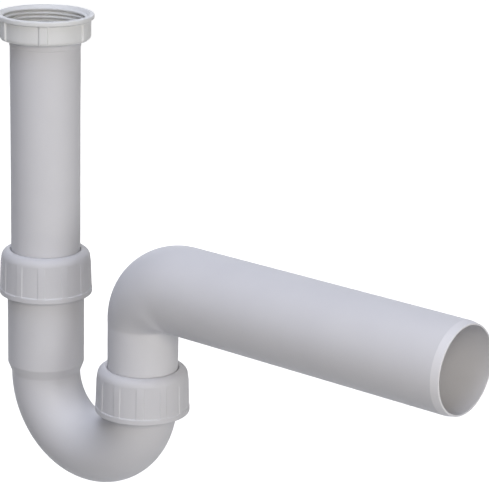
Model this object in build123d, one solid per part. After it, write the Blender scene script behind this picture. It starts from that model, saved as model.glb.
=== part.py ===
# Tubular trap for a sink waste: a threaded coupling, a telescoping inlet tube, a U-bend that holds the
# water seal, and an elbow whose long arm runs to the drain.
# The origin is the centre of the flat seal's top face, where the end of the waste seats. +Z points up
# along the inlet, and +X points from the inlet towards the outlet. All sizes are in millimetres.

import os
from math import cos, radians, sin

from build123d import *

os.makedirs("parts", exist_ok=True)

# Pipes
PIPE_OD = 40.0
PIPE_WALL = 1.8
ARM_OD = 50.0
ARM_WALL = 1.8

# Thread of the coupling and of both sockets: 47.8 over its crests, the 1 1/2 inch pipe thread
THREAD_WALL = 2.12
THREAD_HEIGHT = 1.48

# Coupling nut
COUPLING_MOUTH = 9.0
COUPLING_FLOOR = 2.0
COUPLING_WALL = 1.9
COUPLING_FOOT_ROUND = 2.2
RIM_WIDTH = 1.8
RIM_HEIGHT = 2.4
RIM_ROUND = 0.8
MOUTH_BEVEL = 1.3
LUG_COUNT = 6
LUG_WIDTH = 4.9
LUG_HEIGHT = 0.9
LUG_FOOT_ROUND = 1.6
LUG_ANGLE = -48.0

# Inlet tube and its flat seal
TUBE_LENGTH = 170.0
FLANGE_WIDTH = 2.2
FLANGE_THICKNESS = 1.6
FLAT_SEAL_WIDTH = 3.8
FLAT_SEAL_THICKNESS = 1.8
BEAD_HEIGHT = 0.3
BEAD_LENGTH = 3.8
BEAD_GAP = 0.3
TUBE_INSERTED = 36.8
PIPE_END_BEVEL = 0.8

# Slip nuts
SHOULDER_THICKNESS = 3.0
SHOULDER_WALL = 1.6
SHOULDER_ROUND = 4.6
SKIRT_WALL = 2.3
BAND_WIDTH = 0.6
BAND_HEIGHT = 3.0
BAND_ROUND = 0.7
SLIP_NUT_HEIGHT = 26.0
SKIRT_BEVEL = 1.0
RIB_COUNT = 12
RIB_WIDTH = 4.1
RIB_HEIGHT = 0.35
RIB_ANGLE = -51.5

# Thrust rings and wedge seals
THRUST_RING_THICKNESS = 2.0
SEAL_HEAD = 1.0
SEAT_WIDTH = 1.4
SEAT_DEPTH = 5.0
SEAL_DEPTH = 3.5

# Trap bend
LEG_SPACING = 76.2
INLET_SOCKET_DEPTH = 60.6
INLET_SOCKET_WALL = 1.95
INLET_THREAD_LENGTH = 17.0
INLET_SOCKET_CONE = 5.7
OUTLET_SOCKET_DEPTH = 12.5
SOCKET_FLOOR = 1.8

# Outlet elbow
ELBOW_RISE = 69.2
ARM_LENGTH = 217.2
CROTCH_RADIUS = 0.4
ELBOW_SECTIONS = 7
# The section widens over this much of the quarter turn, counted in degrees from the leg
WIDENING_TURN = 60.0
ARM_BEVEL_LENGTH = 5.7
ARM_BEVEL_DEPTH = 0.85

# Clearances, each on the radius or between two faces
SOCKET_CLEARANCE = 0.3
NUT_HOLE_CLEARANCE = 0.35
FLANGE_CLEARANCE = 0.25
RING_CLEARANCE = 0.3
SEAL_CLEARANCE = 0.1
THREAD_CLEARANCE = 0.1
LEG_GAP = 0.3

# Radii and heights that follow from the sizes above
pipe_r = PIPE_OD / 2
bore_r = pipe_r - PIPE_WALL
arm_r = ARM_OD / 2
arm_bore_r = arm_r - ARM_WALL
socket_bore_r = pipe_r + SOCKET_CLEARANCE
seal_bore_r = pipe_r + SEAL_CLEARANCE
socket_root_r = socket_bore_r + THREAD_WALL
nut_root_r = socket_root_r + THREAD_HEIGHT + THREAD_CLEARANCE
ring_r = socket_root_r - RING_CLEARANCE
flange_r = pipe_r + FLANGE_WIDTH

flange_top = -FLAT_SEAL_THICKNESS
coupling_floor_top = flange_top - FLANGE_THICKNESS
coupling_bottom = coupling_floor_top - COUPLING_FLOOR
tube_end = flange_top - TUBE_LENGTH
inlet_mouth = tube_end + TUBE_INSERTED
inlet_stop = inlet_mouth - INLET_SOCKET_DEPTH
bend_top = inlet_stop - SOCKET_FLOOR - INLET_SOCKET_CONE
outlet_cone = socket_root_r - pipe_r
outlet_stop = bend_top + SOCKET_FLOOR
outlet_mouth = outlet_stop + OUTLET_SOCKET_DEPTH
leg_end = outlet_stop + LEG_GAP
arm_axis = leg_end + ELBOW_RISE
nut_top_above_mouth = SEAL_HEAD + THRUST_RING_THICKNESS + SHOULDER_THICKNESS
outlet = Location((LEG_SPACING, 0, 0))


def turned(*corners, arc=360):
    """A body turned about Z. Each corner is (radius, height) or (radius, height, rounding)."""
    points = [corner[:2] for corner in corners]
    roundings = [corner[2] if len(corner) == 3 else 0 for corner in corners]
    outline = Plane.XZ * FilletPolyline(*points, radius=roundings, close=True)
    return revolve(make_face(outline), Axis.Z, arc)


def around(rib, rib_arc, count, angle):
    """Copies of a rib, evenly spaced about Z, the first one centred on the given angle."""
    return [Rot(0, 0, angle - rib_arc / 2 + 360 * i / count) * rib for i in range(count)]


def width_as_arc(width, radius):
    """The angle in degrees that a width takes up on a circle."""
    return Vector(radius, -width / 2).get_angle(Vector(radius, width / 2))


def coupling_nut():
    """The nut that draws the inlet tube up against the waste."""
    body_r = nut_root_r + COUPLING_WALL
    rim_r = body_r + RIM_WIDTH
    rim_foot = COUPLING_MOUTH - RIM_HEIGHT
    hole_r = pipe_r + NUT_HOLE_CLEARANCE
    recess_r = flange_r + FLANGE_CLEARANCE
    nut = turned(
        (nut_root_r + MOUTH_BEVEL, COUPLING_MOUTH),
        (rim_r, COUPLING_MOUTH, RIM_ROUND),
        (rim_r, rim_foot, RIM_ROUND / 2),
        (body_r, rim_foot - (rim_r - body_r) / 2),
        (body_r, coupling_bottom, COUPLING_FOOT_ROUND),
        (hole_r, coupling_bottom),
        (hole_r, coupling_floor_top),
        (recess_r, coupling_floor_top),
        (recess_r, 0),
        (nut_root_r, 0),
        (nut_root_r, COUPLING_MOUTH - MOUTH_BEVEL),
    )
    lug_r = body_r + LUG_HEIGHT
    lug_root_r = (nut_root_r + body_r) / 2
    lug_arc = width_as_arc(LUG_WIDTH, body_r)
    lug = turned(
        (lug_root_r, rim_foot),
        (lug_r, rim_foot),
        (lug_r, coupling_bottom, LUG_FOOT_ROUND),
        (lug_root_r, coupling_bottom),
        arc=lug_arc,
    )
    return nut + around(lug, lug_arc, LUG_COUNT, LUG_ANGLE)


def inlet_flat_seal():
    """The flat ring between the waste and the tube's flange."""
    seal_r = bore_r + FLAT_SEAL_WIDTH
    return turned((bore_r, 0), (seal_r, 0), (seal_r, flange_top), (bore_r, flange_top))


def inlet_tube():
    """The tube with the flange that the coupling nut pulls on and the bead that keeps the nut on it."""
    bead_r = pipe_r + BEAD_HEIGHT
    bead_top = coupling_bottom - BEAD_GAP
    bead_foot = bead_top - BEAD_LENGTH
    return turned(
        (bore_r, flange_top),
        (flange_r, flange_top),
        (flange_r, coupling_floor_top),
        (pipe_r, coupling_floor_top),
        (pipe_r, bead_top),
        (bead_r, bead_top - BEAD_HEIGHT),
        (bead_r, bead_foot + BEAD_HEIGHT),
        (pipe_r, bead_foot),
        (pipe_r, tube_end + PIPE_END_BEVEL),
        (pipe_r - PIPE_END_BEVEL, tube_end),
        (bore_r, tube_end),
    )


def slip_nut(socket_mouth):
    """A ribbed nut with a rounded shoulder, screwed down over the socket's thread."""
    top = socket_mouth + nut_top_above_mouth
    foot = top - SLIP_NUT_HEIGHT
    band_top = foot + BAND_HEIGHT
    hole_r = pipe_r + NUT_HOLE_CLEARANCE
    shoulder_r = nut_root_r + SHOULDER_WALL
    skirt_r = nut_root_r + SKIRT_WALL
    band_r = skirt_r + BAND_WIDTH
    nut = turned(
        (hole_r, top),
        (shoulder_r, top, SHOULDER_ROUND),
        (skirt_r, band_top + BAND_WIDTH),
        (band_r, band_top),
        (band_r, foot, BAND_ROUND),
        (nut_root_r + SKIRT_BEVEL, foot),
        (nut_root_r, foot + SKIRT_BEVEL),
        (nut_root_r, top - SHOULDER_THICKNESS),
        (hole_r, top - SHOULDER_THICKNESS),
    )
    rib_arc = width_as_arc(RIB_WIDTH, skirt_r)
    rib_top = top - SHOULDER_ROUND
    rib_root_r = (nut_root_r + shoulder_r) / 2
    rib = turned(
        (rib_root_r, rib_top),
        (shoulder_r, rib_top),
        (shoulder_r + RIB_HEIGHT, rib_top - RIB_HEIGHT),
        (skirt_r + RIB_HEIGHT, band_top),
        (rib_root_r, band_top),
        arc=rib_arc,
    )
    return nut + around(rib, rib_arc, RIB_COUNT, RIB_ANGLE)


def thrust_ring(socket_mouth):
    """The loose flat ring that keeps the turning nut from dragging on the wedge seal."""
    inner_r = pipe_r + RING_CLEARANCE
    foot = socket_mouth + SEAL_HEAD
    top = foot + THRUST_RING_THICKNESS
    return turned((inner_r, top), (ring_r, top), (ring_r, foot), (inner_r, foot))


def wedge_seal(socket_mouth):
    """The tapered rubber ring that the nut presses into the socket's seat and against the pipe."""
    seat_top_r = socket_bore_r + SEAT_WIDTH
    foot_r = seat_top_r - SEAT_WIDTH * SEAL_DEPTH / SEAT_DEPTH
    return turned(
        (seal_bore_r, socket_mouth + SEAL_HEAD),
        (ring_r, socket_mouth + SEAL_HEAD),
        (ring_r, socket_mouth),
        (seat_top_r - SEAL_CLEARANCE, socket_mouth),
        (foot_r - SEAL_CLEARANCE, socket_mouth - SEAL_DEPTH),
        (seal_bore_r, socket_mouth - SEAL_DEPTH),
    )


def inlet_socket():
    """The long plain socket that takes the inlet tube, threaded at its mouth."""
    socket_r = socket_bore_r + INLET_SOCKET_WALL
    thread_end = inlet_mouth - INLET_THREAD_LENGTH
    return turned(
        (socket_bore_r + SEAT_WIDTH, inlet_mouth),
        (socket_root_r, inlet_mouth),
        (socket_root_r, thread_end),
        (socket_r, thread_end - abs(socket_root_r - socket_r)),
        (socket_r, inlet_stop - SOCKET_FLOOR),
        (pipe_r, bend_top),
        (bore_r, bend_top),
        (bore_r, inlet_stop),
        (socket_bore_r, inlet_stop),
        (socket_bore_r, inlet_mouth - SEAT_DEPTH),
    )


def outlet_socket():
    """The short threaded socket that carries the elbow's leg."""
    return turned(
        (socket_bore_r + SEAT_WIDTH, outlet_mouth),
        (socket_root_r, outlet_mouth),
        (socket_root_r, bend_top + outlet_cone),
        (pipe_r, bend_top),
        (bore_r, bend_top),
        (bore_r, outlet_stop),
        (socket_bore_r, outlet_stop),
        (socket_bore_r, outlet_mouth - SEAT_DEPTH),
    )


def u_pipe():
    """The half turn of pipe below both sockets."""
    section = Plane.XY.offset(bend_top) * (Circle(pipe_r) - Circle(bore_r))
    turn_axis = Axis((LEG_SPACING / 2, 0, bend_top), (0, -1, 0))
    return revolve(section, turn_axis, 180)


def trap_bend():
    """The one-piece bend: inlet socket, U-bend and outlet socket."""
    return inlet_socket() + u_pipe() + outlet * outlet_socket()


def rod(radius, length):
    """A solid cylinder that stands on the plane it is placed on."""
    return Cylinder(radius, length, align=(Align.CENTER, Align.CENTER, Align.MIN))


def elbow_core(leg_r, mouth_r):
    """The elbow as a solid form: a straight leg, a bend that widens, and a straight arm."""
    centre_x = CROTCH_RADIUS + ARM_OD - pipe_r
    centre_z = arm_axis - arm_r - CROTCH_RADIUS
    outer_arc = CROTCH_RADIUS + ARM_OD
    half_sections = []
    for i in range(ELBOW_SECTIONS):
        spread = i / (ELBOW_SECTIONS - 1)
        blend = spread * (2 - spread)
        turn = radians(180 - WIDENING_TURN * spread)
        section_r = leg_r + (mouth_r - leg_r) * blend
        reach = outer_arc - pipe_r - (arm_r - pipe_r) * blend
        middle = (centre_x + reach * cos(turn), 0, centre_z + reach * sin(turn))
        plane = Plane(origin=middle, x_dir=(0, 1, 0), z_dir=(sin(turn), 0, -cos(turn)))
        half_round = CenterArc((0, 0), section_r, -90, 180)
        half_sections.append(make_face([plane * half_round, plane * Line(half_round @ 1, half_round @ 0)]))
    half_bend = loft(half_sections)
    widening = half_bend + mirror(half_bend, Plane.XZ)
    leg = Pos(0, 0, leg_end) * rod(leg_r, centre_z - leg_end)
    arm_plane = Plane(origin=(centre_x, 0, arm_axis), z_dir=(1, 0, 0))
    arm = arm_plane * rod(mouth_r, ARM_LENGTH - centre_x)
    back_to_widening = Axis((centre_x, 0, centre_z), (0, -1, 0))
    steady = revolve(arm_plane * Circle(mouth_r), back_to_widening, 90 - WIDENING_TURN)
    return leg + widening + steady + arm


def end_bevel(radius, length, depth):
    """The ring that is cut away to bevel the end of a pipe that ends at z = 0, pointing up."""
    margin = depth
    return turned((radius, -length), (radius + margin, -length), (radius + margin, margin), (radius - depth, 0))


def outlet_elbow():
    """The one-piece outlet: a leg that drops into the bend's socket and a long arm to the drain."""
    elbow = elbow_core(pipe_r, arm_r) - elbow_core(bore_r, arm_bore_r)
    arm_mouth = Plane(origin=(ARM_LENGTH, 0, arm_axis), z_dir=(1, 0, 0))
    elbow -= arm_mouth * end_bevel(arm_r, ARM_BEVEL_LENGTH, ARM_BEVEL_DEPTH)
    leg_foot = Plane(origin=(0, 0, leg_end), z_dir=(0, 0, -1))
    elbow -= leg_foot * end_bevel(pipe_r, PIPE_END_BEVEL, PIPE_END_BEVEL)
    return elbow


pieces = {
    "coupling_nut": coupling_nut(),
    "inlet_flat_seal": inlet_flat_seal(),
    "inlet_tube": inlet_tube(),
    "inlet_slip_nut": slip_nut(inlet_mouth),
    "inlet_thrust_ring": thrust_ring(inlet_mouth),
    "inlet_wedge_seal": wedge_seal(inlet_mouth),
    "trap_bend": trap_bend(),
    "outlet_slip_nut": outlet * slip_nut(outlet_mouth),
    "outlet_thrust_ring": outlet * thrust_ring(outlet_mouth),
    "outlet_wedge_seal": outlet * wedge_seal(outlet_mouth),
    "outlet_elbow": outlet * outlet_elbow(),
}

for name, piece in pieces.items():
    export_step(piece, f"parts/{name}.step")
    box = piece.bounding_box()
    print(f"{name}: {piece.volume / 1000:.2f} cm3, z {box.min.Z:.1f} to {box.max.Z:.1f}")
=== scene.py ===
# %% [markdown]
# # A tubular trap for a sink
# The real object is the drain trap under a wash basin. It is moulded in white polypropylene: a coupling nut,
# a tube that goes into a long socket, a U-bend that holds the water seal, two slip nuts, and an elbow whose
# long arm runs to the drain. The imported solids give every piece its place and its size. This script dresses
# them in finer skins: threads, rounded moulded edges and a satin plastic.

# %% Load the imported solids
import math

import bpy
import numpy as np
from mathutils import Matrix, Vector


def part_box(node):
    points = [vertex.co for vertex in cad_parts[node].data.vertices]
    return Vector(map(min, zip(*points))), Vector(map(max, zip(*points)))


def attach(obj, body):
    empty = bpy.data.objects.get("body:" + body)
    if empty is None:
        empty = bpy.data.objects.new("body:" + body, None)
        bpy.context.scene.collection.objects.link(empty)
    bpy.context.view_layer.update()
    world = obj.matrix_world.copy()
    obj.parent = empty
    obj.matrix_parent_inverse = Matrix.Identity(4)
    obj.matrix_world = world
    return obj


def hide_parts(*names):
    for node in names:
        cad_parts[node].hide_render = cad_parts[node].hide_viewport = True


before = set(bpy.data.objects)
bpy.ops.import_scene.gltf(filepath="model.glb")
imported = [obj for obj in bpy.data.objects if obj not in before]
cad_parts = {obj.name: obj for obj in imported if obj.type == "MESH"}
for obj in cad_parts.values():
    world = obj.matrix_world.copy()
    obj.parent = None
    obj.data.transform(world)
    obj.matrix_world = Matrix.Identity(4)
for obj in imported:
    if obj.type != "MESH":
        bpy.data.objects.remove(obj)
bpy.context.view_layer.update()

# %% [markdown]
# ## The camera
# A product photograph like this is taken with a long lens from well over a metre away, so that the pipes
# keep their width along their length. The camera stands in front of the bend's open side and a little above
# it. Its place in millimetres, the direction in which it looks and its roll in degrees come from a fit to the
# outlines of the pipes, which is why they are written as bare measurements.

# %% Place the camera
MM = 0.001
LENS = 166.28
SENSOR_WIDTH = 36
CAMERA_AT = Vector((880.64, -898.32, 249.18)) * MM
LOOK_ALONG = Vector((-0.60553, 0.74285, -0.28551))
ROLL = 1.334
SEES_AS_FAR_AS = 20

camera = bpy.data.objects.new("camera", bpy.data.cameras.new("camera"))
bpy.context.scene.collection.objects.link(camera)
bpy.context.scene.camera = camera
camera.data.lens = LENS
camera.data.sensor_width = SENSOR_WIDTH
camera.data.clip_end = SEES_AS_FAR_AS
camera.location = CAMERA_AT
turn = LOOK_ALONG.to_track_quat("-Z", "Y").to_matrix() @ Matrix.Rotation(math.radians(ROLL), 3, "Z")
camera.rotation_euler = turn.to_euler()
print("camera at", [round(c, 3) for c in camera.location], "lens", LENS)

# %% [markdown]
# ## Where the pieces are
# The corners of the solids' boxes say where each piece starts and ends. They are read in millimetres, because
# every size of a pipe fitting is known in millimetres.


# %% Measure the solids
def reach(node):
    """The lowest and highest corner of a solid, in millimetres."""
    low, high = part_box(node)
    return low / MM, high / MM


coupling_low, coupling_high = reach("coupling_nut")
tube_low, tube_high = reach("inlet_tube")
bend_low, bend_high = reach("trap_bend")
elbow_low, elbow_high = reach("outlet_elbow")
OUTLET_X = sum(c.x for c in reach("outlet_slip_nut")) / 2
PIPE_R = 20.0
ARM_R = 25.0
WALL = 1.8
print("spacing of the legs:", round(OUTLET_X, 2), "mm")

# %% [markdown]
# ## How a moulded round piece is drawn
# Almost every piece of the trap is a turned form: a wall whose outline goes round an axis. A mould maker
# rounds each corner of that outline, because plastic doesn't fill a sharp one. So the outline is written as
# corners with a rounding each, and a function puts the arcs in. Two more points beside each arc keep the
# flat stretches flat where the shading runs smoothly over them.

# %% Outline with rounded corners
ARC_STEP = math.radians(15)
BESIDE_ARC = 0.25
NEARLY_STRAIGHT = math.radians(89)


def rounded(corners):
    """The closed outline through the corners (along, radius, rounding), as an array of points."""
    points = []
    count = len(corners)
    places = [np.array(corner[:2], float) for corner in corners]
    for i, corner in enumerate(corners):
        here, rounding = places[i], corner[2] if len(corner) == 3 else 0.0
        back, ahead = places[i - 1] - here, places[(i + 1) % count] - here
        back_length, ahead_length = np.linalg.norm(back), np.linalg.norm(ahead)
        back, ahead = back / back_length, ahead / ahead_length
        half = math.acos(float(np.clip(back @ ahead, -1, 1))) / 2
        if rounding == 0 or half > NEARLY_STRAIGHT:
            points.append(here)
            continue
        run = rounding / math.tan(half)
        middle = here + (back + ahead) / np.linalg.norm(back + ahead) * rounding / math.sin(half)
        first, last = here + back * run - middle, here + ahead * run - middle
        sweep = math.atan2(first[0] * last[1] - first[1] * last[0], first @ last)
        steps = max(2, math.ceil(abs(sweep) / ARC_STEP))
        if back_length - run > 3 * BESIDE_ARC:
            points.append(here + back * (run + BESIDE_ARC))
        for k in range(steps + 1):
            a = sweep * k / steps
            spin = np.array([[math.cos(a), -math.sin(a)], [math.sin(a), math.cos(a)]])
            points.append(middle + spin @ first)
        if ahead_length - run > 3 * BESIDE_ARC:
            points.append(here + ahead * (run + BESIDE_ARC))
    return np.array(points)


test_outline = rounded([(0, 10, 1), (5, 10, 1), (5, 12, 1), (0, 12, 1)])
print("a rounded rectangle has", len(test_outline), "points")

# %% [markdown]
# ## Rows where they are needed
# A thread and a bend need many rows of faces close together, and a straight pipe needs few. So the long
# stretches of an outline are cut to a spacing that depends on the place. A step is never longer than the
# spacing at its far end, and a short rest is joined to the last step.


# %% Cut the long stretches
def divided(outline, spacing):
    """The closed outline with its long stretches cut to a spacing, which a function gives for each place."""
    points = []
    for here, ahead in zip(outline, np.roll(outline, -1, axis=0)):
        length = float(np.linalg.norm(ahead - here))
        along = 0.0
        while length - along > 1e-6:
            place = here + (ahead - here) * along / length
            points.append(place)
            step = spacing(place)
            step = min(step, spacing(here + (ahead - here) * min(along + step, length) / length))
            along += step if length - along > 1.5 * step else length - along
    return np.array(points)


print("cut to 1 mm, it has", len(divided(test_outline, lambda place: 1.0)), "points")

# %% [markdown]
# ## From an outline to a skin
# The outline goes round the axis in columns, and each point of the outline makes one row. Rows and columns
# make a grid that closes on itself both ways, so the skin is watertight: it has an outside, an inside and a
# wall between them. That is how a real pipe looks at its mouth. The volume that the grid encloses also says
# whether its faces point outwards.

# %% Grid to mesh
ROUND = 192


def round_columns(count=ROUND):
    """Evenly spaced angles round an axis."""
    return np.arange(count) * 2 * math.pi / count


def skin(name, grid):
    """A closed mesh from a grid of points in millimetres. Its rows and its columns close on themselves."""
    rows, columns = grid.shape[:2]
    index = np.arange(rows * columns).reshape(rows, columns)
    below, right = np.roll(index, -1, axis=0), np.roll(index, -1, axis=1)
    across = np.roll(below, -1, axis=1)
    quads = np.stack([index, right, across, below], axis=-1).reshape(-1, 4)
    points = grid.reshape(-1, 3)
    a, b, c, d = (points[quads[:, k]] for k in range(4))
    volume = ((np.cross(a, b) * c).sum() + (np.cross(a, c) * d).sum()) / 6
    if volume < 0:
        quads = quads[:, ::-1]
    mesh = bpy.data.meshes.new(name)
    mesh.vertices.add(len(points))
    mesh.vertices.foreach_set("co", (points * MM).astype(np.float32).ravel())
    mesh.loops.add(quads.size)
    mesh.loops.foreach_set("vertex_index", quads.astype(np.int32).ravel())
    mesh.polygons.add(len(quads))
    mesh.polygons.foreach_set("loop_start", np.arange(0, quads.size, 4, dtype=np.int32))
    mesh.polygons.foreach_set("use_smooth", np.ones(len(quads), bool))
    mesh.update(calc_edges=True)
    mesh.validate()
    piece = bpy.data.objects.new(name, mesh)
    bpy.context.scene.collection.objects.link(piece)
    print(f"{name}: {rows} rows, {columns} columns, {abs(volume) / 1000:.2f} cm3")
    return piece


print("one column of a 40 mm pipe is", round(2 * math.pi * PIPE_R / ROUND, 2), "mm wide")

# %% [markdown]
# ## The pipe thread
# Coupling nut, slip nuts and sockets share one pipe thread: 11 turns to the inch, so one turn rises by
# 2.309 mm. It is drawn as real shape, because the turns inside the coupling nut catch the light. The ridge
# climbs with the angle and fades out over a quarter of a turn at both ends, as a moulded thread does. Screw
# and nut use the same curve half a turn apart, so that the ridges of one lie in the grooves of the other, and
# they stay there while a nut turns and rises. A thread with more fullness has wider ridges and narrower
# grooves.

# %% Thread ridge
PITCH = 25.4 / 11
THREAD_HEIGHT = 1.48
THREAD_ROW = PITCH / 14
FADE_TURNS = 0.25
FLANK_STEEPNESS = 1.25
HALF_TURN_APART = 0.5


def eased(t):
    """A smooth step from 0 to 1."""
    t = np.clip(t, 0, 1)
    return t * t * (3 - 2 * t)


def thread_ridge(angle, height, low, high, shift=0.0, fullness=0.0):
    """The height of the ridge in millimetres at an angle and a height, for a thread between low and high."""
    turns = (height - low) / PITCH - angle / (2 * math.pi) - shift
    nearest = np.round(turns)
    slope = 1 - 2 * np.abs(turns - nearest)
    along = nearest + angle / (2 * math.pi)
    last = (high - low) / PITCH - shift
    fade = eased((along + shift) / FADE_TURNS) * eased((last - along) / FADE_TURNS)
    return THREAD_HEIGHT * eased((slope - 0.5 + fullness) * FLANK_STEEPNESS + 0.5) * fade


print("a full ridge is", round(float(thread_ridge(0.0, 5 * PITCH, 0, 10 * PITCH)), 3), "mm high")

# %% [markdown]
# ## Nuts that fingers can turn
# The coupling nut has lugs down its wall, and the slip nuts have flat ribs. They are part of the same
# moulding as the wall, so they are made by lifting the wall outwards between two angles. Extra columns where
# their flanks are keep those flanks crisp, and the even columns near them give way.

# %% Lugs and ribs round a wall
RIB_FLANK = 0.22
LUG_FLANK = 0.4
FLANK_COLUMNS = (-2.5, -1, -0.6, -0.2, 0.2, 0.6, 1, 2.5)
FREE_OF_EVEN_COLUMNS = 3.2


def apart(angles, others):
    """The distance in radians from each angle to the nearest of the others."""
    gaps = (angles[:, None] - others[None, :] + math.pi) % (2 * math.pi) - math.pi
    return np.abs(gaps).min(axis=1)


def ribbed_columns(count, width, radius, first, flank_width, columns=ROUND):
    """Angles round the axis with extra ones at the flanks, and how far each one is up a rib, from 0 to 1."""
    half = width / radius / 2
    flank = flank_width / radius
    middles = np.radians(first) + np.arange(count) * 2 * math.pi / count
    edges = np.concatenate([middles - half, middles + half])
    extra = (edges[:, None] + np.array(FLANK_COLUMNS)[None, :] * flank).ravel()
    even = round_columns(columns)
    even = even[apart(even, edges) > FREE_OF_EVEN_COLUMNS * flank]
    angles = np.sort(np.concatenate([even, extra % (2 * math.pi)]))
    return angles, eased((half - apart(angles, middles)) / (2 * flank) + 0.5)


print("a lug's flank is", LUG_FLANK, "mm wide and a rib's", RIB_FLANK, "mm")

# %% [markdown]
# ## A turned piece
# Turning the outline is the same for the nuts and the tube. Where a piece has lugs or ribs, its rows rise by
# a lift, and where it has a thread inside, the rows on that wall come inwards by the ridge.

# %% Turned piece
NUT_WALL_R = 24.0
WALL_TOLERANCE = 0.05


def thread_spacing(low, high, coarse):
    """A spacing for divided(): fine along a thread on the nut's wall, and coarse elsewhere."""

    def spacing(place):
        on_thread = abs(place[1] - NUT_WALL_R) < WALL_TOLERANCE and low < place[0] < high
        return THREAD_ROW if on_thread else coarse

    return spacing


def turned(name, outline, angles, centre_x=0.0, lift=None, share=None, thread=None):
    """A turned piece. lift is how far each row rises on a rib, share how far up the rib each column is, and
    thread the low end, high end, shift and fullness of a thread in the nut's wall."""
    along = np.repeat(outline[:, :1], len(angles), axis=1)
    radius = np.repeat(outline[:, 1:], len(angles), axis=1)
    if lift is not None:
        radius = radius + lift[:, None] * share[None, :]
    if thread is not None:
        low, high, shift, fullness = thread
        on_wall = np.abs(outline[:, 1] - NUT_WALL_R) < WALL_TOLERANCE
        rows = on_wall & (outline[:, 0] >= low) & (outline[:, 0] <= high)
        radius[rows] -= thread_ridge(angles[None, :], along[rows], low, high, shift, fullness)
    grid = np.stack([centre_x + radius * np.cos(angles), radius * np.sin(angles), along], axis=-1)
    return skin(name, grid)


print("the nuts' wall is at a radius of", NUT_WALL_R, "mm")

# %% [markdown]
# ## The coupling nut
# The nut at the top draws the tube up against the waste of the basin. It is a cup with a hole in its floor, a
# proud rim round its mouth, six lugs for the fingers down its wall, and the thread inside. Its thread is the
# only one in view at rest, and it has full ridges with narrow dark grooves between them.

# %% Coupling nut
NUT_HOLE_R = 20.35
COUPLING_R = 25.9
COUPLING_FLOOR = 2.0
COUPLING_FOOT_ROUND = 2.2
COUPLING_COLUMNS = 240
COUPLING_ROW = 6.0
FLANGE_RECESS_R = 22.45
RIM_R = coupling_high.x
RIM_HEIGHT = 2.4
MOUTH_BEVEL = 1.3
LUG_COUNT = 6
LUG_HEIGHT = 0.9
LUG_WIDTH = 4.9
LUG_ANGLE = -48.0
RIM_FOOT_ROUND = 0.3
THREAD_FULLNESS = 0.2
THREAD_START = 0.2
THREAD_END_GAP = 0.1

coupling_mouth, coupling_foot = coupling_high.z, coupling_low.z
rim_foot = coupling_mouth - RIM_HEIGHT
wall_top = rim_foot - (RIM_R - COUPLING_R) / 2
floor_top = coupling_foot + COUPLING_FLOOR
bevel_foot = coupling_mouth - MOUTH_BEVEL
thread_top = bevel_foot - THREAD_END_GAP
outline = rounded([
    (coupling_mouth, NUT_WALL_R + MOUTH_BEVEL, 0.25),
    (coupling_mouth, RIM_R, 0.8),
    (rim_foot, RIM_R, 0.4),
    (wall_top, COUPLING_R, RIM_FOOT_ROUND),
    (coupling_foot, COUPLING_R, COUPLING_FOOT_ROUND),
    (coupling_foot, NUT_HOLE_R, 0.3),
    (floor_top, NUT_HOLE_R, 0.2),
    (floor_top, FLANGE_RECESS_R, 0.2),
    (0, FLANGE_RECESS_R, 0.2),
    (0, NUT_WALL_R, 0.2),
    (bevel_foot, NUT_WALL_R, 0.3),
])
outline = divided(outline, thread_spacing(THREAD_START, thread_top, COUPLING_ROW))
angles, share = ribbed_columns(LUG_COUNT, LUG_WIDTH, COUPLING_R, LUG_ANGLE, LUG_FLANK, COUPLING_COLUMNS)
outside = outline[:, 1] > NUT_WALL_R + WALL_TOLERANCE
below_rim = outline[:, 0] < wall_top + RIM_FOOT_ROUND
foot_arc = np.clip((outline[:, 1] - (COUPLING_R - COUPLING_FOOT_ROUND)) / COUPLING_FOOT_ROUND, 0, 1)
lift = np.where(outside & below_rim, LUG_HEIGHT * foot_arc, 0.0)
thread = (THREAD_START, thread_top, HALF_TURN_APART, THREAD_FULLNESS)
coupling_nut = turned("moulded_coupling_nut", outline, angles, 0.0, lift, share, thread)
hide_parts("coupling_nut")
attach(coupling_nut, "coupling")

# %% [markdown]
# ## Pipes that bend
# The U-bend and the elbow are pipes too, only their axis isn't straight. Their outlines are written along the
# axis as if it were straight. A function then says, for each place along the axis, where the centre of the
# pipe is, which way is out, and how wide the pipe is there.


# %% Pipe along a bent axis
def bent(name, outline, path, columns=ROUND, threads=()):
    """A pipe whose outline (along, wall offset) follows a path that gives centre, outward direction and radius.
    Each thread is its low end, its high end and the rows that it lies on."""
    angles = round_columns(columns)
    centres, outwards, radii = path(outline[:, 0])
    radius = (radii + outline[:, 1])[:, None] + np.zeros(columns)[None, :]
    cos, sin = np.cos(angles), np.sin(angles)
    for low, high, rows in threads:
        side = outwards[rows][:, None, 0] * cos[None, :]
        around = np.arctan2(sin[None, :] + 0 * side, side) % (2 * math.pi)
        radius[rows] += thread_ridge(around, centres[rows][:, None, 1], low, high)
    x = centres[:, None, 0] + radius * cos * outwards[:, None, 0]
    z = centres[:, None, 1] + radius * cos * outwards[:, None, 1]
    return skin(name, np.stack([x, radius * sin, z], axis=-1))


print("bent pipes have", ROUND, "columns, unless a piece asks for more")

# %% [markdown]
# ## The trap bend
# The bend is one moulding: a long socket for the inlet tube, the U, and a short socket for the elbow. Both
# sockets carry the thread for a slip nut at their mouth and a tapered seat for the wedge seal inside. The
# path runs down the inlet leg, through half a turn and up the outlet leg.

# %% The bend's sizes and path
SOCKET_R = 22.25
SOCKET_BORE_R = 20.3
SOCKET_FLOOR = 1.8
SEAT_R = 21.7
SEAT_DEPTH = 5.0
THREAD_ROOT_R = 22.42
ROOT_STEP_RUN = 0.17
THREAD_LENGTH = 17.0
INLET_CONE = 5.7
OUTLET_SOCKET_DEPTH = 12.5
BEND_R = OUTLET_X / 2

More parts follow.
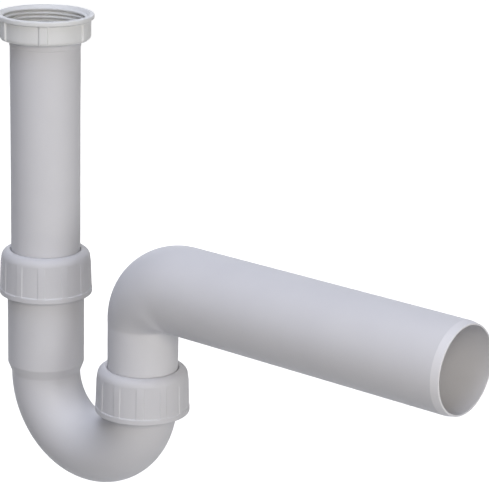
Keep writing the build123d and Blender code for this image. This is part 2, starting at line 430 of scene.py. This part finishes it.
inlet_mouth = bend_high.z
bend_top = bend_low.z + BEND_R + PIPE_R
cone_top = bend_top + INLET_CONE
inlet_stop = cone_top + SOCKET_FLOOR
outlet_stop = bend_top + SOCKET_FLOOR
outlet_mouth = outlet_stop + OUTLET_SOCKET_DEPTH
thread_foot = inlet_mouth - THREAD_LENGTH
outlet_cone = bend_top + THREAD_ROOT_R - PIPE_R
inlet_leg = inlet_mouth - bend_top
half_turn = math.pi * BEND_R
whole_bend = inlet_leg + half_turn + outlet_mouth - bend_top


def bend_path(along):
    """The centre, outward direction and radius at each length along the bend. The outline has the radius."""
    turn = math.pi + np.clip((along - inlet_leg) / BEND_R, 0, math.pi)
    up = np.maximum(inlet_leg - along, 0) + np.maximum(along - inlet_leg - half_turn, 0)
    outward = np.stack([np.cos(turn), np.sin(turn)], axis=-1)
    centre = outward * BEND_R + np.array([BEND_R, bend_top])
    centre[:, 1] += up
    return centre, outward, np.zeros(len(along))


def down_inlet(height):
    """The length along the bend at a height on the inlet leg."""
    return inlet_mouth - height


def up_outlet(height):
    """The length along the bend at a height on the outlet leg."""
    return whole_bend - (outlet_mouth - height)


print("the bend's axis is", round(whole_bend, 1), "mm long")

# %% Trap bend
ROOT_TOLERANCE = 0.01
MOUTH_GAP = 0.4
BEND_ROW = 1.6
LEG_ROW = 8.0
PAST_TURN = 3


def bend_spacing(place):
    """Fine rows on both threads, clear of the roundings at their ends, medium ones round the U and a little
    past it, and long ones on the straight legs."""
    on_inlet_thread = 0.3 < place[0] < THREAD_LENGTH - 0.2
    on_outlet_thread = up_outlet(outlet_cone) + 0.4 < place[0] < whole_bend - 0.3
    if abs(place[1] - THREAD_ROOT_R) < ROOT_TOLERANCE and (on_inlet_thread or on_outlet_thread):
        return THREAD_ROW
    on_turn = inlet_leg - PAST_TURN < place[0] < inlet_leg + half_turn + PAST_TURN
    return BEND_ROW if on_turn else LEG_ROW


outline = rounded([
    (down_inlet(inlet_mouth), SEAT_R, 0.15),
    (down_inlet(inlet_mouth), THREAD_ROOT_R, 0.2),
    (down_inlet(thread_foot), THREAD_ROOT_R, 0.1),
    (down_inlet(thread_foot - ROOT_STEP_RUN), SOCKET_R, 0.1),
    (down_inlet(cone_top), SOCKET_R, 1.2),
    (down_inlet(bend_top), PIPE_R, 4.0),
    (up_outlet(bend_top), PIPE_R, 0.5),
    (up_outlet(outlet_cone), THREAD_ROOT_R, 0.3),
    (up_outlet(outlet_mouth), THREAD_ROOT_R, 0.2),
    (up_outlet(outlet_mouth), SEAT_R, 0.15),
    (up_outlet(outlet_mouth - SEAT_DEPTH), SOCKET_BORE_R, 0.3),
    (up_outlet(outlet_stop), SOCKET_BORE_R, 0.3),
    (up_outlet(outlet_stop), PIPE_R - WALL, 0.3),
    (down_inlet(inlet_stop), PIPE_R - WALL, 0.3),
    (down_inlet(inlet_stop), SOCKET_BORE_R, 0.3),
    (down_inlet(inlet_mouth - SEAT_DEPTH), SOCKET_BORE_R, 0.3),
])
outline = divided(outline, bend_spacing)
on_root = np.abs(outline[:, 1] - THREAD_ROOT_R) < ROOT_TOLERANCE
inlet_thread = (thread_foot, inlet_mouth - MOUTH_GAP, on_root & (outline[:, 0] < THREAD_LENGTH))
outlet_thread = (outlet_cone, outlet_mouth - MOUTH_GAP, on_root & (outline[:, 0] > inlet_leg))
trap_bend = bent("moulded_trap_bend", outline, bend_path, threads=[inlet_thread, outlet_thread])
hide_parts("trap_bend")
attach(trap_bend, "trap_bend")

# %% [markdown]
# ## The slip nuts
# A slip nut squeezes the rubber seal in the mouth of a socket. Its shoulder is a large soft round, its skirt
# widens a little so that it comes out of the mould, and it carries twelve flat ribs and a band round its foot.
# Both nuts come from one mould, so one function makes them. Only the turn at which the thread starts differs,
# because each nut has to be in step with its own socket.

# %% Slip nut
SHOULDER_R = 25.6
SHOULDER_ROUND = 4.6
SHOULDER_THICKNESS = 3.0
SKIRT_R = 26.3
BAND_R = 26.9
BAND_HEIGHT = 3.0
RIB_COUNT = 12
RIB_HEIGHT = 0.35
RIB_WIDTH = 4.1
RIB_ANGLE = -51.5
RIB_TOP_RUN = 0.7
RIB_FOOT_RUN = 0.3
NUT_FOOT_BEVEL = 1.0
NUT_THREAD_FOOT = 1.2
NUT_THREAD_TOP = 18.0
NUT_ROW = 3.0


def in_step(nut_foot, screw_low):
    """The shift that puts a nut's ridges into the grooves of the screw."""
    return (HALF_TURN_APART - (nut_foot + NUT_THREAD_FOOT - screw_low) / PITCH) % 1


def slip_nut(name, node, body, centre_x, screw_low):
    """A slip nut in the place of its solid, in step with a screw that starts at the height screw_low."""
    low, high = reach(node)
    top, foot = high.z, low.z
    band_top = foot + BAND_HEIGHT
    ceiling = top - SHOULDER_THICKNESS
    thread_low, thread_high = foot + NUT_THREAD_FOOT, foot + NUT_THREAD_TOP
    outline = rounded([
        (top, NUT_HOLE_R, 0.3),
        (top, SHOULDER_R, SHOULDER_ROUND),
        (band_top + BAND_R - SKIRT_R, SKIRT_R, 0.4),
        (band_top, BAND_R, 0.3),
        (foot, BAND_R, 0.7),
        (foot, NUT_WALL_R + NUT_FOOT_BEVEL, 0.2),
        (foot + NUT_FOOT_BEVEL, NUT_WALL_R, 0.2),
        (ceiling, NUT_WALL_R, 0.4),
        (ceiling, NUT_HOLE_R, 0.2),
    ])
    outline = divided(outline, thread_spacing(thread_low, thread_high, NUT_ROW))
    angles, share = ribbed_columns(RIB_COUNT, RIB_WIDTH, SKIRT_R, RIB_ANGLE, RIB_FLANK)
    outside = outline[:, 1] > NUT_WALL_R + WALL_TOLERANCE
    below_shoulder = eased((top - SHOULDER_ROUND - outline[:, 0]) / RIB_TOP_RUN)
    above_band = eased((outline[:, 0] - band_top) / RIB_FOOT_RUN)
    lift = np.where(outside, RIB_HEIGHT * (below_shoulder * above_band), 0.0)
    thread = (thread_low, thread_high, in_step(foot, screw_low), 0.0)
    nut = turned(name, outline, angles, centre_x, lift, share, thread)
    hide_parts(node)
    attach(nut, body)
    return nut


inlet_nut = slip_nut("moulded_inlet_nut", "inlet_slip_nut", "inlet_nut", 0.0, thread_foot)
outlet_nut = slip_nut("moulded_outlet_nut", "outlet_slip_nut", "outlet_nut", OUTLET_X, outlet_cone)

# %% [markdown]
# ## The inlet tube
# A plain tube with a flange at its top, which the coupling nut pulls on, and a low bead that keeps the nut
# from sliding off. Its lower end is bevelled so that it goes past the seal.

# %% Inlet tube
FLANGE_R = tube_high.x
FLANGE_THICKNESS = 1.6
BEAD_GAP = 0.3
BEAD_LENGTH = 3.8
BEAD_HEIGHT = 0.3
BEAD_RUN = 0.4
PIPE_END_BEVEL = 0.8
TUBE_ROW = 12.0

flange_foot = tube_high.z - FLANGE_THICKNESS
bead_top = coupling_foot - BEAD_GAP
bead_foot = bead_top - BEAD_LENGTH
outline = rounded([
    (tube_high.z, PIPE_R - WALL, 0.2),
    (tube_high.z, FLANGE_R, 0.2),
    (flange_foot, FLANGE_R, 0.2),
    (flange_foot, PIPE_R, 0.2),
    (bead_top, PIPE_R, 0.2),
    (bead_top - BEAD_RUN, PIPE_R + BEAD_HEIGHT, 0.3),
    (bead_foot + BEAD_RUN, PIPE_R + BEAD_HEIGHT, 0.3),
    (bead_foot, PIPE_R, 0.2),
    (tube_low.z + PIPE_END_BEVEL, PIPE_R, 0.3),
    (tube_low.z, PIPE_R - PIPE_END_BEVEL, 0.3),
    (tube_low.z, PIPE_R - WALL, 0.2),
])
outline = divided(outline, lambda place: TUBE_ROW)
inlet_tube = turned("moulded_inlet_tube", outline, round_columns())
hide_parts("inlet_tube")
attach(inlet_tube, "tube")

# %% [markdown]
# ## The outlet elbow
# The elbow drops into the bend's short socket. It turns through a right angle and widens on the way, from the
# 40 mm pipe to the 50 mm arm: quickly at first, and it has its full width after 60 of the 90 degrees. Its outer
# side is one arc, and its inner side is a tight corner, so every section of the bend lies on a plane through
# that corner. The arm's mouth has a long shallow bevel with a soft lip, which lets it slide into a seal.

# %% The elbow's sizes and path
CROTCH_R = 0.4
WIDENING_TURN = 60.0
TURN_LENGTH = 48.0

outer_arc = CROTCH_R + 2 * ARM_R
corner_x = OUTLET_X - PIPE_R + outer_arc
corner_z = elbow_high.z - outer_arc
leg_length = corner_z - elbow_low.z
elbow_length = leg_length + TURN_LENGTH + elbow_high.x - corner_x


def elbow_path(along):
    """The centre, outward direction and outer radius at each length along the elbow."""
    t = np.clip((along - leg_length) / TURN_LENGTH, 0, 1)
    spread = np.minimum(t * 90 / WIDENING_TURN, 1)
    blend = spread * (2 - spread)
    radius = PIPE_R + (ARM_R - PIPE_R) * blend
    turn = math.pi - t * math.pi / 2
    outward = np.stack([np.cos(turn), np.sin(turn)], axis=-1)
    centre = outward * (outer_arc - radius)[:, None] + np.array([corner_x, corner_z])
    centre[:, 1] -= np.maximum(leg_length - along, 0)
    centre[:, 0] += np.maximum(along - leg_length - TURN_LENGTH, 0)
    return centre, outward, radius


print("the leg is", round(leg_length, 1), "mm and the arm", round(elbow_high.x - corner_x, 1), "mm long")

# %% Outlet elbow
ARM_BEVEL_DEPTH = 0.85
ARM_BEVEL_LENGTH = 4.6
ARM_LIP_ROUND = 0.55
ELBOW_COLUMNS = 224
ELBOW_ROW = 1.0
ARM_ROW = 10.0


def elbow_spacing(place):
    """Fine rows round the turn, and long ones on the straight leg and arm."""
    on_turn = leg_length - PAST_TURN < place[0] < leg_length + TURN_LENGTH + PAST_TURN
    return ELBOW_ROW if on_turn else ARM_ROW


bevel_start = elbow_length - ARM_BEVEL_LENGTH
outline = rounded([
    (0, -WALL, 0.2),
    (0, -PIPE_END_BEVEL, 0.3),
    (PIPE_END_BEVEL, 0, 0.3),
    (bevel_start, 0, 0.25),
    (elbow_length, -ARM_BEVEL_DEPTH, ARM_LIP_ROUND),
    (elbow_length, -WALL, 0.25),
])
outline = divided(outline, elbow_spacing)
on_bevel = (outline[:, 0] > bevel_start) & (outline[:, 1] > WALL_TOLERANCE - WALL)
outlet_elbow = bent("moulded_outlet_elbow", outline, elbow_path, ELBOW_COLUMNS)
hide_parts("outlet_elbow")
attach(outlet_elbow, "elbow")

# %% [markdown]
# ## Colours and nodes
# Colours are written as the hex values that a paint program shows, and one function turns them to the linear
# values that Blender works with. Another adds a node with its settings and links, so that a material reads as
# a list of what it is made of.


# %% Colour and node helpers
def linear(hex_colour):
    """An sRGB hex colour as linear red, green, blue and alpha."""
    values = [int(hex_colour[i : i + 2], 16) / 255 for i in (1, 3, 5)]
    return [v / 12.92 if v <= 0.04045 else ((v + 0.055) / 1.055) ** 2.4 for v in values] + [1.0]


def node(tree, kind, settings=None, **sockets):
    """Adds a node. settings are its own properties. sockets are its inputs, by name or as _0, _1 and so on,
    each with a value or with the (node, output) that it is linked to."""
    made = tree.nodes.new(kind)
    for name, value in (settings or {}).items():
        setattr(made, name, value)
    for name, value in sockets.items():
        socket = made.inputs[int(name[1:]) if name[1:].isdigit() else name.replace("_", " ")]
        if isinstance(value, tuple) and isinstance(value[0], bpy.types.Node):
            tree.links.new(value[0].outputs[value[1]], socket)
        else:
            socket.default_value = value
    return made


def new_material(name):
    """A material with no nodes yet, and its node tree."""
    material = bpy.data.materials.new(name)
    material.use_nodes = True
    material.node_tree.nodes.clear()
    return material, material.node_tree


print("mid grey #808080 is", round(linear("#808080")[0], 3), "in linear light")

# %% [markdown]
# ## Moulded polypropylene
# Polypropylene is a milky, slightly waxy plastic. Moulded against spark-eroded steel it gets a satin face: no
# mirror image, but a broad soft sheen. Three patterns make that face. The melt leaves long faint waves of some
# 20 mm where it cooled, handling leaves slightly smoother and duller patches of some 9 mm, and the eroded
# steel leaves a grain of about half a millimetre. That grain is too fine to show, so it is drawn at 1.4 mm,
# as coarse as it needs to be.

# %% Moulded polypropylene
WAVE_SIZE = 20 * MM
PATCH_SIZE = 9 * MM
GRAIN_SIZE = 1.4 * MM
WAVE_DEPTH = 0.05 * MM
GRAIN_DEPTH = 0.04 * MM
SHEEN_VARIES = 0.04
# Nearly all of a noise pattern lies between these two values.
NOISE_LOW, NOISE_HIGH = 0.3, 0.7


def moulded_polypropylene(name, pale, dark, roughness):
    """A satin plastic that varies between two close colours."""
    material, tree = new_material(name)
    place = node(tree, "ShaderNodeTexCoord")
    waves = node(tree, "ShaderNodeTexNoise", Vector=(place, "Object"), Scale=1 / WAVE_SIZE, Detail=2.0)
    patches = node(tree, "ShaderNodeTexNoise", Vector=(place, "Object"), Scale=1 / PATCH_SIZE, Detail=3.0)
    grain = node(tree, "ShaderNodeTexNoise", Vector=(place, "Object"), Scale=1 / GRAIN_SIZE, Detail=2.0)
    tint = node(
        tree, "ShaderNodeMix", {"data_type": "RGBA"}, Factor=(waves, "Fac"),
        A=linear(pale), B=linear(dark),
    )
    sheen = node(tree, "ShaderNodeMapRange", Value=(patches, "Fac"), From_Min=NOISE_LOW, From_Max=NOISE_HIGH)
    sheen.inputs["To Min"].default_value = roughness - SHEEN_VARIES
    sheen.inputs["To Max"].default_value = roughness + SHEEN_VARIES
    swell = node(tree, "ShaderNodeBump", Height=(waves, "Fac"), Distance=WAVE_DEPTH, Strength=0.5)
    bump = node(
        tree, "ShaderNodeBump", Height=(grain, "Fac"), Distance=GRAIN_DEPTH, Strength=0.5,
        Normal=(swell, "Normal"),
    )
    face = node(
        tree, "ShaderNodeBsdfPrincipled", Base_Color=(tint, "Result"), Roughness=(sheen, "Result"),
        Normal=(bump, "Normal"), IOR=1.49, Specular_IOR_Level=0.25,
    )
    node(tree, "ShaderNodeOutputMaterial", Surface=(face, "BSDF"))
    return material


print("the grain is drawn", round(GRAIN_SIZE / MM, 1), "mm wide and", round(GRAIN_DEPTH / MM, 2), "mm deep")

# %% [markdown]
# ## Five mouldings, five finishes
# The pipes are the plain satin. The nuts come from a tool with a finer face, so they are a touch glossier.
# Their colour is also a little darker: that is painted shade, in place of the shade that falls on them.
# The coupling nut is the whitest and smoothest of the nuts. The steel that forms the arm's bevel
# is polished, which gives a clearer sheen. The bevel's band is also paler: that is painted light, in place
# of the light that the tilted bevel catches. The thrust rings are moulded polyethylene, which is a warmer
# white.

# %% The plastics
pipe_plastic = moulded_polypropylene("satin moulded polypropylene of the pipes", "#DBDBDE", "#D5D5D9", 0.5)
# The nuts' colours are darker than the pipes' as painted shade.
nut_plastic_with_painted_shade = moulded_polypropylene("satin moulded polypropylene of the nuts", "#D5D5D8", "#CFCFD3", 0.46)
# The bevel's colours are paler than the pipes' as painted light.
bevel_plastic_with_painted_light = moulded_polypropylene(
    "polished moulded polypropylene of the arm's bevel", "#DFDFE2", "#DBDBDF", 0.44
)
coupling_plastic = moulded_polypropylene(
    "satin moulded polypropylene of the coupling", "#E4E5E5", "#DFE0E0", 0.42
)
ring_plastic = moulded_polypropylene("moulded polyethylene of the thrust rings", "#E2E2DE", "#DCDCD8", 0.5)
print("nodes in a moulded plastic:", len(pipe_plastic.node_tree.nodes))

# %% [markdown]
# ## Moulded rubber
# The seals are black EPDM rubber: dark, with a dull, slightly dusty face and next to no sheen. The dust is
# finer than this in truth, and is drawn at 1.5 mm so that it can show.

# %% Moulded rubber
DUST_SIZE = 1.5 * MM
DUST_DEPTH = 0.02 * MM


def moulded_rubber(name):
    """A dull black rubber with a little dust in its face."""
    material, tree = new_material(name)
    place = node(tree, "ShaderNodeTexCoord")
    dust = node(tree, "ShaderNodeTexNoise", Vector=(place, "Object"), Scale=1 / DUST_SIZE, Detail=4.0)
    tint = node(
        tree, "ShaderNodeMix", {"data_type": "RGBA"}, Factor=(dust, "Fac"),
        A=linear("#262628"), B=linear("#38383A"),
    )
    bump = node(tree, "ShaderNodeBump", Height=(dust, "Fac"), Distance=DUST_DEPTH, Strength=0.6)
    face = node(
        tree, "ShaderNodeBsdfPrincipled", Base_Color=(tint, "Result"), Roughness=0.62,
        Normal=(bump, "Normal"), IOR=1.52,
    )
    node(tree, "ShaderNodeOutputMaterial", Surface=(face, "BSDF"))
    return material


seal_rubber = moulded_rubber("moulded EPDM rubber")
print("nodes in the rubber:", len(seal_rubber.node_tree.nodes))

# %% [markdown]
# ## Putting the materials on
# The elbow carries two: its rows on the bevel take the polished plastic, whose paler colour is
# painted light. The seals and the thrust rings are the imported solids themselves, whose shape is right as
# it is.


# %% Put the materials on
def dress(piece, material):
    """Gives a piece one material in place of what it has."""
    piece.data.materials.clear()
    piece.data.materials.append(material)


for piece in (inlet_tube, trap_bend, outlet_elbow):
    dress(piece, pipe_plastic)
# The bevel's rows get the paler plastic, which paints light on them.
outlet_elbow.data.materials.append(bevel_plastic_with_painted_light)
face_materials = np.repeat(on_bevel, ELBOW_COLUMNS).astype(np.int32)
outlet_elbow.data.polygons.foreach_set("material_index", face_materials)
for piece in (inlet_nut, outlet_nut):
    dress(piece, nut_plastic_with_painted_shade)
dress(coupling_nut, coupling_plastic)
for name in ("inlet_flat_seal", "inlet_wedge_seal", "outlet_wedge_seal"):
    dress(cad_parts[name], seal_rubber)
for name in ("inlet_thrust_ring", "outlet_thrust_ring"):
    dress(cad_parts[name], ring_plastic)
print("materials:", [m.name for m in bpy.data.materials])

# %% [markdown]
# ## Floor and backdrop
# The trap hangs in the air, as it does under a basin, above a plain floor. Rays from the camera, reflections
# and glass see the world and the floor as white. For the light that falls on the object the world is dim and
# the floor a mid grey, so that the white around it doesn't flood its edges or flatten its undersides.

# %% Floor and world
FLOOR_BELOW = 0.12
FLOOR_SIZE = 6.0
FLOOR_MIDDLE_X = 0.1
FLOOR_GREY = "#B4B4B4"
FLOOR_SEEN = 0.95
AMBIENT = 0.1


def camera_sees(tree):
    """1 for rays from the camera, in reflections and through glass, and 0 for light that falls on things."""
    either = {"operation": "MAXIMUM"}
    rays = node(tree, "ShaderNodeLightPath")
    first = node(tree, "ShaderNodeMath", either, _0=(rays, "Is Camera Ray"), _1=(rays, "Is Glossy Ray"))
    return node(tree, "ShaderNodeMath", either, _0=(first, "Value"), _1=(rays, "Is Transmission Ray"))


world = bpy.data.worlds.new("studio")
bpy.context.scene.world = world
world.use_nodes = True
tree = world.node_tree
tree.nodes.clear()
strength = node(tree, "ShaderNodeMapRange", Value=(camera_sees(tree), "Value"), To_Min=AMBIENT, To_Max=1.0)
backdrop = node(tree, "ShaderNodeBackground", Color=linear("#FFFFFF"), Strength=(strength, "Result"))
node(tree, "ShaderNodeOutputWorld", Surface=(backdrop, "Background"))

half = FLOOR_SIZE / 2
corners = [(-half, -half, 0), (half, -half, 0), (half, half, 0), (-half, half, 0)]
floor_mesh = bpy.data.meshes.new("floor")
floor_mesh.from_pydata(corners, [], [(0, 1, 2, 3)])
floor = bpy.data.objects.new("floor", floor_mesh)
bpy.context.scene.collection.objects.link(floor)
floor.location = (FLOOR_MIDDLE_X, 0, bend_low.z * MM - FLOOR_BELOW)

paper, tree = new_material("white paper backdrop")
seen = camera_sees(tree)
lit = node(tree, "ShaderNodeBsdfDiffuse", Color=linear(FLOOR_GREY))
glow = node(tree, "ShaderNodeEmission", Strength=FLOOR_SEEN)
none = node(tree, "ShaderNodeEmission", Strength=0.0)
shown = node(tree, "ShaderNodeMixShader", _0=(seen, "Value"), _1=(none, "Emission"), _2=(glow, "Emission"))
both = node(tree, "ShaderNodeAddShader", _0=(lit, "BSDF"), _1=(shown, "Shader"))
node(tree, "ShaderNodeOutputMaterial", Surface=(both, "Shader"))
dress(floor, paper)
print("floor at", round(floor.location.z, 3), "m")

# %% [markdown]
# ## Soft boxes
# Five soft boxes stand round the trap, as in a product studio. The top box is cool and lights the upper sides,
# and a weaker cool one helps it from high in front. The front box is warm and lights the sides that face the
# camera. The low right box shines along the arm and into its mouth. The back box lights the far side for
# other views. It is hidden from reflections, because its glare would brighten the rims seen from the front.

# %% Soft boxes
MIDDLE = Vector((0.12, 0.0, -0.12))
COOL, WHITE, WARM = "#E6ECFF", "#FFFFFF", "#FFF7EB"


def soft_box(name, place, side, power, colour):
    """A square soft box that looks at the middle of the trap. side is in metres, power in watts."""
    light = bpy.data.lights.new(name, "AREA")
    light.shape = "RECTANGLE"
    light.size, light.size_y = side, side
    light.energy = power
    light.color = linear(colour)[:3]
    lamp = bpy.data.objects.new(name, light)
    bpy.context.scene.collection.objects.link(lamp)
    lamp.location = place
    towards = MIDDLE - Vector(place)
    lamp.rotation_euler = towards.to_track_quat("-Z", "Y").to_euler()
    print(f"{name}: {power} W, {towards.length:.2f} m away")
    return lamp


soft_box("top box", (0.10, -0.30, 1.20), 1.0, 10.7, COOL)
soft_box("high front box", (0.40, -0.95, 0.95), 0.6, 2.0, COOL)
soft_box("front box", (1.10, -0.90, 0.45), 0.5, 7.0, WARM)
soft_box("low right box", (1.60, -0.35, -0.10), 0.5, 5.8, WHITE)
back_box = soft_box("back box", (-0.95, 1.05, 0.25), 1.0, 8.0, WHITE)
back_box.visible_glossy = False
bpy.context.scene.view_settings.view_transform = "Standard"
